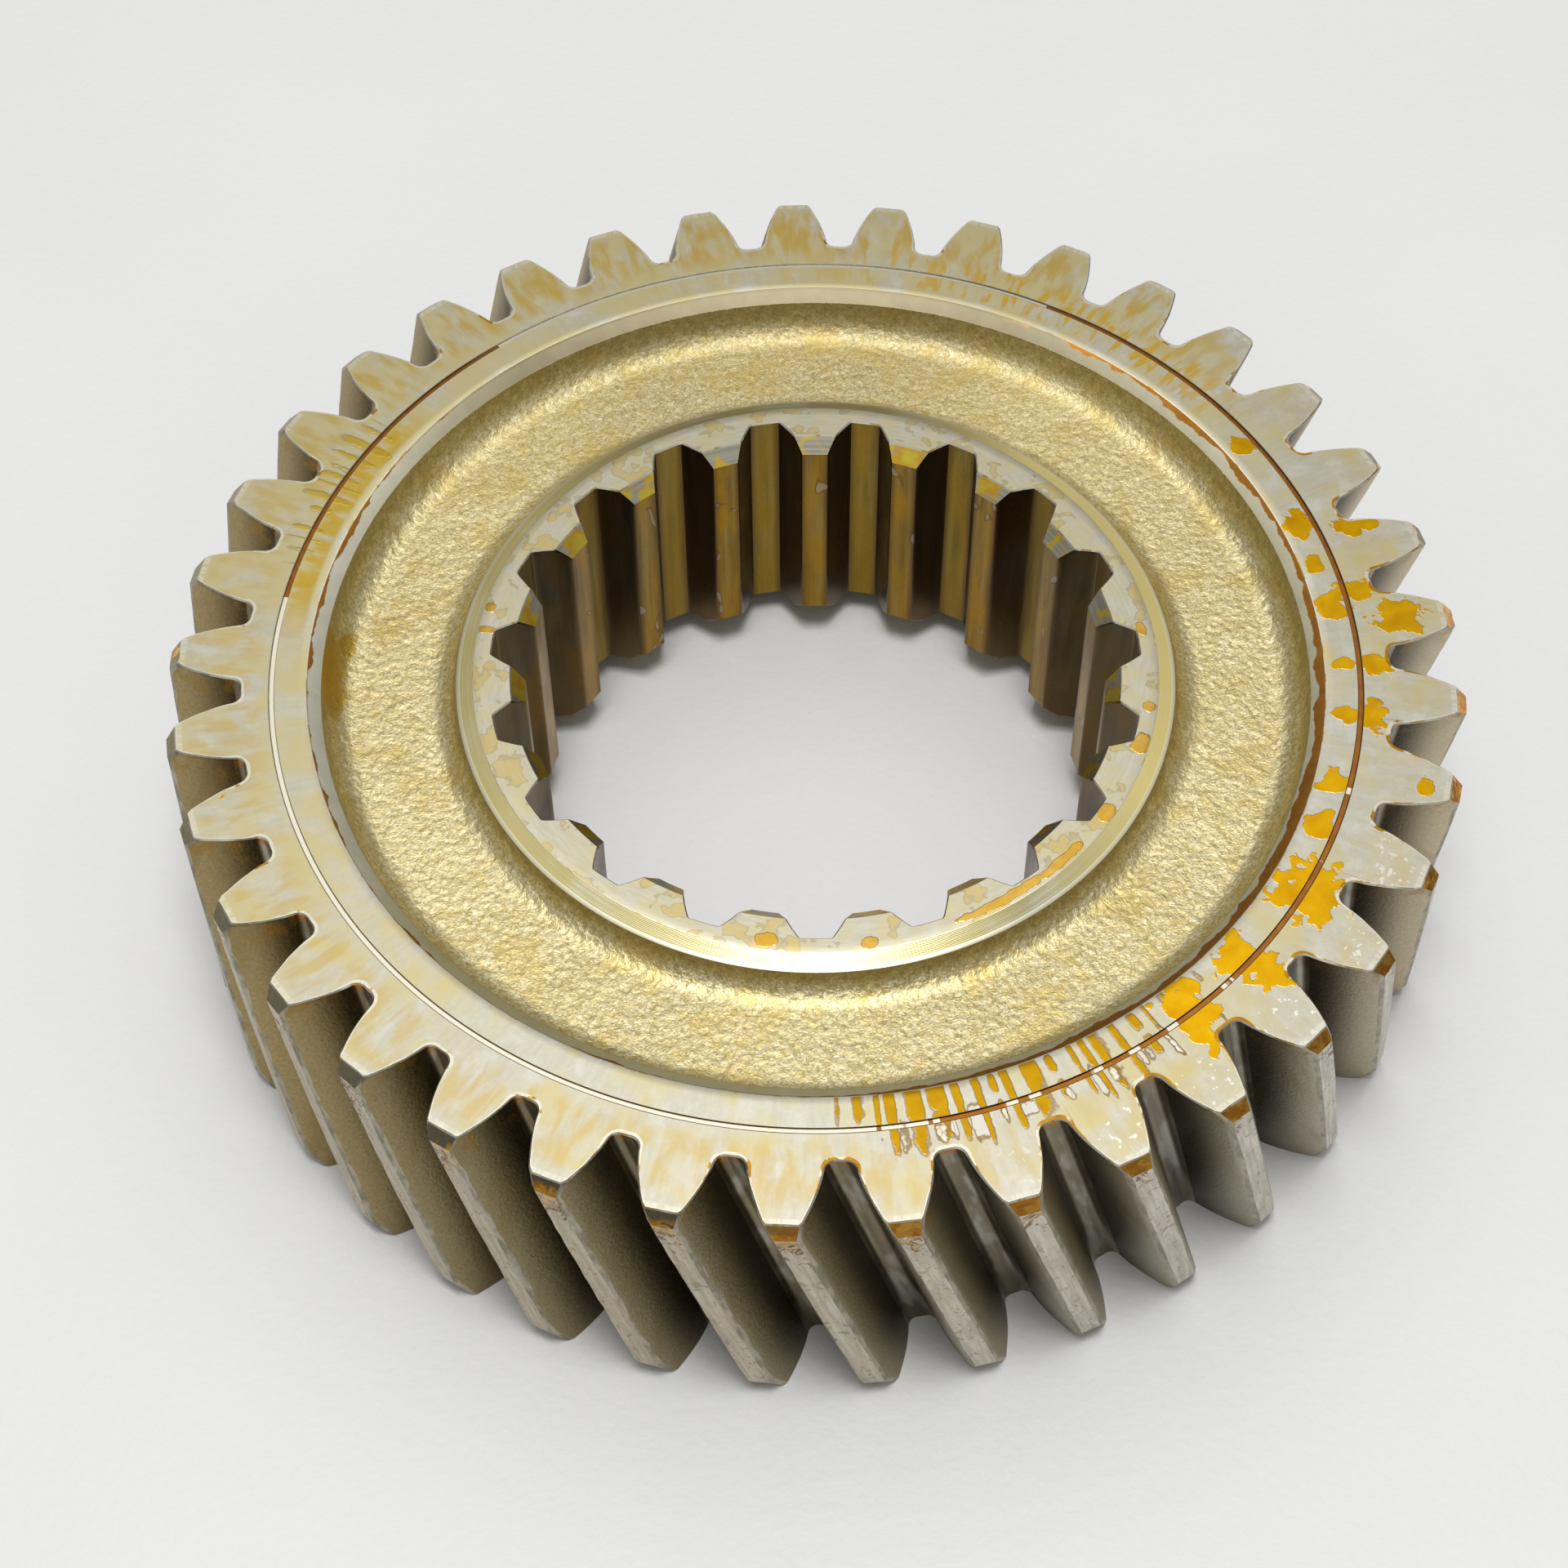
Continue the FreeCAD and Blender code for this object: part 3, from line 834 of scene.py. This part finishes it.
def rim_line():
    """Rubbed line along the outline of the upper face, with oil held at some roots."""
    p = Paint("rim_line")
    amount = p.by_angle({-180: 0.62, -125: 0.6, -95: 0.5, -50: 0.46, 0: 0.5, 30: 0.56, 60: 0.62})
    oily = p.over(p.noise(2.6, 3), amount, 0.03)
    brown = p.mix(p.noise(1.2, 2), (0.26, 0.09, 0.01), (0.56, 0.32, 0.02))
    oily = p.both(oily, p.between(p.radius, 77, 75))
    p.colour = (0.66, 0.62, 0.49)
    p.speckle(0.4, 0.2)
    p.cover(brown, oily)
    return p.done(0.36)


def steel_edge():
    """Deburred edges: bright and rubbed, darkened round the recess at the back as painted shade."""
    p = Paint("deburred_edge")
    p.colour = BRIGHT_STEEL
    p.speckle(0.5, 0.15)
    p.cover(OCHRE_OIL, p.over(p.noise(2.5, 3), 0.58, 0.03), 0.8)
    at_back = p.by_angle({35: 0, 65: 1, 125: 1, 150: 0})
    # painted shade: the edges round the recess are darkened at the back
    painted_shade_at_back = p.both(at_back, p.between(p.radius, 66, 65), p.between(p.radius, 60, 61))
    p.cover((0.17, 0.15, 0.09), painted_shade_at_back)
    return p.done(0.38)


def tooth_land():
    """Tips of the teeth: beige-grey, lighter towards the right as painted light, scratched along
    and dented, with oil run down from the top.
    """
    p = Paint("tooth_land")
    scratches = p.streaks(4, 0.6, None, 7, HELIX_LEAN, 81, rough=0.65)
    blots = p.noise(1.3, 4, 0.6, None, 1.2)
    # painted light: the lands are lighter and greyer towards the right, and hold less oil there
    to_right = p.by_angle({-110: 0.1, -75: 0.8, -40: 1, 60: 0.3, 170: 0.1})
    painted_shade_tone = p.mix(p.between(scratches, 0.35, 0.7), (0.4, 0.34, 0.24), (0.54, 0.48, 0.36))
    painted_light_tone = p.mix(p.between(scratches, 0.35, 0.7), (0.48, 0.45, 0.37), (0.68, 0.65, 0.56))
    p.colour = p.mix(to_right, painted_shade_tone, painted_light_tone)
    p.cover((0.22, 0.17, 0.09), p.over(blots, 0.6, 0.02), 0.55)
    wet_top = p.between(p.z, 32, 41)
    wet_top = p.both(wet_top, p.blend(to_right, 1, 0.55))
    runs = p.plus(p.noise(2, 3, 0.5, None, 1.2), p.blend(wet_top, -0.2, 0.17))
    inside, outline = p.dried(runs, 0.58, 0.05, 0.015)
    p.cover((0.11, 0.045, 0.01), outline, 0.9)
    amber = p.mix(p.between(p.noise(0.9, 2), 0.4, 0.6), (0.26, 0.12, 0.012), (0.46, 0.28, 0.06))
    p.cover(amber, inside, 0.8)
    low = p.between(p.z, 3.6, 0.6)
    p.cover((0.22, 0.2, 0.15), low, 0.6)
    relief = p.plus(scratches, p.times(blots, 2))
    return p.done(p.blend(inside, 0.42, 0.22), p.bump(relief, 0.06), p.both(inside, 0.4))


def tip_bevel():
    """Bevels along the tooth tips, a little darker than the lands."""
    p = Paint("tip_bevel")
    worn = p.streaks(3, 0.8, None, 3, HELIX_LEAN, 81, rough=0.6)
    p.colour = p.mix(p.between(worn, 0.35, 0.65), (0.25, 0.225, 0.16), (0.44, 0.41, 0.32))
    return p.done(0.42, p.bump(worn, 0.04))


def tip_chamfer():
    """Turned chamfer on the tooth tips: dark along the top, with amber oil pooled below; its bare
    steel is lighter and darker round the gear as painted light and shade.
    """
    p = Paint("tip_chamfer")
    level = p.by_angle({
        -180: 0.72, -150: 0.66, -130: 0.55, -115: 0.4, -95: 0.28, -45: 0.28, -20: 0.38, 5: 0.48,
        30: 0.62, 150: 0.72,
    })
    low = p.between(p.plus(p.z, p.noise(1.6, 2)), 41.95, 41.45)
    right = p.between(p.angle, -104, -92)
    spread = p.both(p.over(p.noise(2.2, 2), level, 0.03), p.either(low, right))
    amber = p.mix(p.between(p.noise(1.3, 3), 0.38, 0.6), (0.7, 0.27, 0.02), (0.92, 0.5, 0.07))
    # painted light and shade: the bare chamfer's lightness changes round the gear
    bare = p.by_angle({
        -180: 0.46, -140: 0.34, -120: 0.15, -75: 0.15, -50: 0.34, 120: 0.44, 180: 0.46,
    })
    p.colour = p.mix(bare, (0, 0, 0), (1, 0.88, 0.56))
    p.speckle(0.5, 0.3)
    p.cover(amber, spread)
    return p.done(p.blend(spread, 0.4, 0.2), p.bump(p.noise(0.9, 2), 0.06), p.both(spread, 0.4))


def flank(name, near_root, near_tip):
    """Hobbed and shaved flank with a fine mottled skin; painted shade darkens it towards the root
    in the tooth spaces and painted light lightens it away from the front.
    """
    p = Paint(name)
    # painted shade: the colour darkens from near the tip down to near the root, into the tooth
    # spaces
    depth = p.between(p.radius, 72.5, 80.5)
    mottle = p.noise(0.42, 3, 0.65)
    p.colour = p.mix(depth, near_root, near_tip)
    p.tint(p.mix(mottle, (0.52, 0.51, 0.49), (1.48, 1.48, 1.46)))
    # painted light: the flanks are lighter everywhere but at the front
    painted_light_at_sides = p.by_angle({-150: 1, -118: 0, -50: 0, -20: 1})
    p.tint(p.mix(painted_light_at_sides, (1, 1, 1), (1.34, 1.22, 1.03)))
    stain = p.over(p.streaks(3, 5, 4, 9, HELIX_LEAN), 0.6, 0.08)
    p.cover((0.24, 0.16, 0.05), stain, 0.3)
    high = p.between(p.z, 37, 41.5)
    drip = p.both(p.over(p.noise(2.4, 3), 0.56, 0.04), high)
    p.cover((0.34, 0.19, 0.03), drip, 0.6)
    return p.done(p.blend(mottle, 0.34, 0.5), p.bump(mottle, 0.07))


def tooth_root():
    """Bottom of the tooth spaces, drawn smooth along the helix."""
    p = Paint("tooth_root")
    streak = p.streaks(3, 1, None, 14, HELIX_LEAN, 72, rough=0.6)
    p.colour = p.mix(p.between(streak, 0.3, 0.8), (0.13, 0.105, 0.056), (0.25, 0.215, 0.13))
    glint = p.over(p.streaks(2, 2.6, None, 8, HELIX_LEAN, 72), 0.56, 0.08)
    p.cover((0.5, 0.49, 0.43), glint, 0.45)
    rim = p.both(p.between(p.z, 40.4, 41.6), p.over(p.noise(3, 2), 0.42, 0.05))
    p.cover((0.36, 0.14, 0.012), rim, 0.8)
    return p.done(0.28, p.bump(streak, 0.004))


def ring_groove():
    """The turned ring: filled with brown oil on some arcs, bright on the rest, darker at the back
    as painted shade.
    """
    p = Paint("ring_groove")
    level = p.by_angle({
        -93: 0.9, -88: 0.58, -78: 0.5, -62: 0.42, -35: 0.38, -20: 0.42, -10: 0.15, 50: 0.15,
        60: 0.75, 122: 0.75, 127: 0.15, 166: 0.15, 169: 0.85,
    })
    breaks = p.streaks(2, 2.6)
    filled = p.over(breaks, level, 0.01)
    brown = p.mix(p.noise(1.4, 2), (0.17, 0.055, 0.006), (0.4, 0.15, 0.014))
    # painted shade: the bare arcs are darker at the back
    at_back = p.by_angle({40: 0, 62: 1, 120: 1, 140: 0})
    painted_light_tone = p.mix(at_back, (0.78, 0.73, 0.58), (0.5, 0.47, 0.36))
    p.colour = p.mix(filled, painted_light_tone, brown)
    metallic = p.blend(filled, 0.6, 1)
    return p.done(p.blend(filled, 0.42, 0.3), coat=p.both(filled, 0.2), metallic=metallic)


def ring_wall():
    """Walls of the turned ring, dark as painted shade in the groove, lighter at the back as painted
    light.
    """
    p = Paint("ring_wall")
    # painted shade and light: the dark walls give the groove its shadowed edges, and the back is
    # lighter
    painted_light_tone = p.by_angle({
        -180: 0.35, -150: 0.15, -95: 0, -30: 0, 20: 0.1, 60: 0.3, 80: 0.8, 122: 0.8, 130: 0.2,
        170: 0.35,
    })
    p.colour = p.mix(painted_light_tone, (0.1, 0.065, 0.03), (0.66, 0.62, 0.48))
    p.speckle(0.8, 0.4)
    return p.done(p.blend(painted_light_tone, 0.45, 0.8))


def recess_chamfer():
    """Chamfer round the recess, darker at the back as painted shade, with a band of red-brown oil
    that creeps in from the rim.
    """
    p = Paint("recess_chamfer")
    width = p.by_angle({
        -180: 0.15, -150: 0, -120: 0, -92: 0.1, -80: 0.42, -30: 0.72, -8: 0.62, 8: 0.35, 20: 0.35,
        46: 0.3, 62: 0, 125: 0, 140: 0.1, 165: 0.25, 178: 0.15,
    })
    wavy = p.plus(width, p.times(p.minus(p.noise(3.6, 3), 0.5), 1.2))
    inwards = p.ratio(p.minus(RECESS_RADIUS, p.radius), RECESS_CHAMFER[0])
    not_at_back = p.by_angle({54: 1, 62: 0, 128: 0, 136: 1})
    band = p.both(p.over(wavy, inwards, 0.04), not_at_back, p.upper_side())
    brown = p.mix(p.noise(1.6, 3), (0.34, 0.115, 0.012), (0.58, 0.27, 0.04))
    olive = p.by_angle({
        -180: 0.1, -160: 0.2, -140: 1, -95: 0.8, -60: 0.7, 0: 0.5, 40: 0.5, 130: 0.6, 160: 0.1,
    })
    p.colour = p.mix(olive, (0.68, 0.655, 0.55), (0.52, 0.475, 0.27))
    # painted shade: the chamfer is darkened at the back
    at_back = p.by_angle({25: 0, 60: 1, 125: 1, 150: 0})
    p.cover((0.29, 0.25, 0.16), at_back)
    p.speckle(2.6, 0.16)
    p.cover((0.2, 0.15, 0.08), p.between(inwards, 0.16, 0.02), 0.55)
    p.cover(brown, band)
    return p.done(p.blend(band, 0.56, 0.34), coat=p.both(band, 0.25))


def forged_skin():
    """Shot-blasted forged web: champagne gold, stained in places, with painted light and shade:
    lighter on its bumps and at the sides, darker in its hollows and olive on its walls.
    """
    p = Paint("forged_skin")
    grain = p.noise(0.55, 3, 0.6, None, 0.9)
    pits = p.noise(0.3, 2)
    height = p.plus(grain, p.times(pits, 0.5))
    # painted light: the web is lighter at the sides than at the front and back
    painted_light_at_sides = p.by_angle({-150: 1, -115: 0, -65: 0, -30: 1, 50: 1, 75: 0, 110: 0, 140: 1})
    low = p.mix(painted_light_at_sides, (0.43, 0.36, 0.155), (0.53, 0.445, 0.195))
    high = p.mix(painted_light_at_sides, (0.7, 0.63, 0.405), (0.81, 0.73, 0.465))
    # painted light and shade: the colour follows the relief, light on the bumps and dark in the
    # hollows
    p.colour = p.mix(p.between(height, 0.55, 0.95), low, high)
    stain = p.over(p.noise(5.5, 4, 0.6), 0.56, 0.1)
    p.cover((0.58, 0.43, 0.12), stain, 0.5)
    warm = p.over(p.noise(1.1, 3, 0.6), 0.6, 0.06)
    p.cover((0.54, 0.36, 0.07), warm, 0.3)
    # painted shade: the walls of the recess are darkened
    uneven = p.times(p.minus(p.noise(1.2, 3), 0.5), 1.4)
    place = p.plus(p.radius, uneven)
    wall = p.either(p.between(place, 60.9, 62), p.between(place, 46.3, 45.4))
    p.cover((0.2, 0.165, 0.06), wall, 0.5)
    pool = p.patches(((176, 61, 6, 1.5), (170, 60.2, 2.6, 1), (167, 55.5, 3, 2.2)), 1, 0.4)
    depth = p.blend(p.between(p.radius, 57, 59.5), 0.35, 0.85)
    p.cover((0.5, 0.31, 0.02), pool, depth)
    at_back = p.by_angle({20: 0, 55: 1, 125: 1, 155: 0})
    roughness = p.blend(p.both(at_back, 0.6), p.blend(grain, 0.38, 0.54), 0.66)
    return p.done(roughness, p.bump(height, 0.085))


def turned_bevel():
    """Turned bevel of the hub with olive and gold oil in its grooves, pale gold at the sides as
    painted light.
    """
    p = Paint("turned_bevel")
    bands = p.streaks(2, 40, 0.22)
    tint = p.over(p.noise(6, 3), 0.42, 0.12)
    p.colour = p.mix(p.between(bands, 0.3, 0.7), (0.46, 0.44, 0.31), (0.68, 0.65, 0.5))
    p.cover((0.46, 0.38, 0.13), tint, 0.65)
    # painted light: the bevel is lighter and rougher at the sides
    painted_light_at_sides = p.by_angle({-150: 0.6, -115: 0, -60: 0, -30: 1, 45: 1, 75: 0, 105: 0, 140: 0.6})
    p.cover((0.93, 0.8, 0.36), painted_light_at_sides, 0.8)
    lip = p.between(p.radius, HUB_RADIUS + 1.65, HUB_RADIUS + 1.75)
    p.cover((0.72, 0.69, 0.55), lip, 0.7)
    return p.done(p.blend(painted_light_at_sides, 0.34, 0.62))


HUB_PATCHES = (
    (-103, 41.7, 1.5, 0.9), (-86, 42.2, 0.9, 0.8), (-62, 42.1, 6, 0.6), (-50, 42.2, 4, 0.6),
    (-38, 42.1, 1.3, 1), (-22, 42, 1.6, 1.2), (-14, 42.2, 0.8, 0.7), (3, 41.8, 1, 0.7),
    (168, 42, 0.5, 1.2), (163, 42.4, 0.7, 0.8),
)


def hub_face():
    """Turned hub face: pale steel with small amber runs."""
    p = Paint("hub_face")
    smear = p.streaks(3, 4, 0.4, rough=0.6)
    p.colour = p.mix(p.between(smear, 0.3, 0.7), (0.5, 0.475, 0.37), (0.57, 0.545, 0.44))
    film = p.over(p.noise(4, 3), 0.5, 0.15)
    p.cover(FILM, film, 0.6)
    patches, outline = p.dried(p.noise(3.2, 2), 0.6, 0.04, 0.01)
    p.cover((0.36, 0.28, 0.12), outline, 0.5)
    p.cover((0.56, 0.4, 0.09), patches, 0.55)
    spots = p.patches(HUB_PATCHES, 0.9)
    amber = p.mix(p.noise(1.2, 2), (0.42, 0.2, 0.006), (0.62, 0.38, 0.03))
    p.cover(amber, spots, 0.9)
    return p.done(p.blend(spots, 0.4, 0.26), p.bump(spots, 0.03), p.both(spots, 0.15))


def spline_chamfer():
    """Turned lead-in on the spline's crests, with fine rings and amber oil on some crests."""
    p = Paint("spline_chamfer")
    rings = p.streaks(2, 30, 0.2)
    p.colour = p.mix(p.between(rings, 0.3, 0.7), (0.46, 0.44, 0.34), (0.66, 0.63, 0.51))
    oil = p.over(p.noise(4.4, 2), 0.5, 0.05)
    amber = p.mix(p.between(p.noise(2.2), 0.35, 0.65), (0.9, 0.47, 0.002), (0.95, 0.72, 0.05))
    p.cover(amber, oil, 0.9)
    return p.done(0.34, coat=p.both(oil, 0.03))


def spline_wall(name, dark, mid, oil_colour, oil_level, half_width=0, shift=0, marked=0):
    """A face of the splined bore, streaked downwards by oil and darker at its sides."""
    p = Paint(name)
    runs = p.streaks(3, 1.1, None, 22, 0, 39, rough=0.55)
    patches = p.streaks(2, 3, None, 12, 0, 39)
    p.colour = p.mix(p.between(runs, 0.3, 0.7), dark, mid)
    low = p.both(p.between(p.z, 30, 8), 0.55)
    oil = p.either(p.over(patches, oil_level, 0.18), low)
    p.cover(oil_colour, oil, 0.9)
    p.speckle(0.8, 0.12)
    if half_width:
        side = p.between(p.from_space(SPLINES, 39, shift), half_width - 1, half_width)
        p.cover((0.1, 0.06, 0.02), side, 0.75)
    if marked:
        marks, outline = p.dried(p.streaks(1, 3.4, None, 6, 0, 39, bend=0.8), 0.68, 0.03, 0.012)
        p.cover((0.09, 0.05, 0.015), outline, marked)
        p.cover((0.36, 0.33, 0.28), marks, marked)
    return p.done(p.blend(oil, 0.36, 0.26), p.bump(patches, 0.05), p.both(oil, 0.03))


# --- the gear

# The faces' slots, by the names that the rings use.
FINISHES = {
    "face": machined_face(),
    "rim_line": rim_line(),
    "edge": steel_edge(),
    "tip_bevel": tip_bevel(),
    "land": tooth_land(),
    "tip_chamfer": tip_chamfer(),
    # painted light and shade: the two flanks of each tooth get different colours
    "flank_ccw": flank("flank_anticlockwise", (0.072, 0.056, 0.025), (0.285, 0.24, 0.135)),
    "flank_cw": flank("flank_clockwise", (0.048, 0.042, 0.024), (0.4, 0.37, 0.28)),
    "root": tooth_root(),
    "ring": ring_groove(),
    "ring_wall": ring_wall(),
    "recess_chamfer": recess_chamfer(),
    "forged": forged_skin(),
    "hub_bevel": turned_bevel(),
    "hub_face": hub_face(),
    "spline_chamfer": spline_chamfer(),
    "spline_crest": spline_wall("spline_crest", (0.16, 0.095, 0.018), (0.3, 0.205, 0.06),
                                (0.34, 0.18, 0.004), 0.52, 1.87, 0.5, 0.5),
    "spline_flank": spline_wall("spline_flank", (0.055, 0.042, 0.022), (0.115, 0.088, 0.046),
                                (0.12, 0.065, 0.01), 0.55),
    "spline_root": spline_wall("spline_root", (0.17, 0.115, 0.02), (0.3, 0.21, 0.05),
                               (0.27, 0.155, 0.008), 0.52, 1.84),
}
SLOT = {name: number for number, name in enumerate(FINISHES)}

gear = build_mesh("helical_gear_finished", gear_surface())
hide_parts("helical_gear")
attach(gear, "root")
for finish in FINISHES.values():
    gear.data.materials.append(finish)

# --- floor, light and camera

scene = bpy.context.scene
scene.view_settings.view_transform = "Standard"
floor_mesh = bpy.data.meshes.new("floor")
floor_mesh.from_pydata([(-3, -3, 0), (3, -3, 0), (3, 3, 0), (-3, 3, 0)], [], [(0, 1, 2, 3)])
floor = add_object("floor", floor_mesh)
paper = Paint("white_table")
paper.colour = paper.mix(paper.noise(60.0, 3), (0.74, 0.74, 0.735), (0.79, 0.79, 0.785))
grain = paper.bump(paper.noise(1.3, 4), 0.12)
floor_mesh.materials.append(paper.done(0.55, grain, metallic=0.0))


def studio_world():
    """Soft overhead light that falls off towards the horizon."""
    world = bpy.data.worlds.new("studio")
    world.use_nodes = True
    nodes, links = world.node_tree.nodes, world.node_tree.links
    direction = nodes.new("ShaderNodeTexCoord").outputs["Generated"]
    apart = nodes.new("ShaderNodeSeparateXYZ")
    links.new(direction, apart.inputs[0])
    ramp = nodes.new("ShaderNodeValToRGB")
    links.new(apart.outputs["Z"], ramp.inputs[0])
    for element, (height, level) in zip(ramp.color_ramp.elements, ((0.0, 0.12), (0.8, 0.86))):
        element.position = height
        element.color = (level, level, level, 1)
    links.new(ramp.outputs["Color"], nodes["Background"].inputs["Color"])
    nodes["Background"].inputs["Strength"].default_value = 0.6
    return world


scene.world = studio_world()


def lamp(name, place, target, size, watts):
    data = bpy.data.lights.new(name, "AREA")
    data.shape = "RECTANGLE"
    data.size, data.size_y = size
    data.energy = watts
    obj = add_object(name, data)
    obj.location = place
    direction = Vector(target) - Vector(place)
    obj.rotation_euler = direction.to_track_quat("-Z", "Y").to_euler()


lamp("overhead", (0.0, 0.4, 1.15), (0, 0, 0), (0.8, 0.8), 2.3)
lamp("front_fill", (-0.02, -0.2, 1.2), (0, 0, 0), (0.4, 0.4), 8.2)

camera_data = bpy.data.cameras.new("camera")
camera_data.sensor_width = 36
camera_data.lens = 70.62
camera_data.clip_start = 0.01
camera = add_object("camera", camera_data)
camera.location = (-0.0208, -0.23634, 0.34686)
camera.rotation_euler = [math.radians(a) for a in (35.468, 0.3, -4.465)]
scene.camera = camera
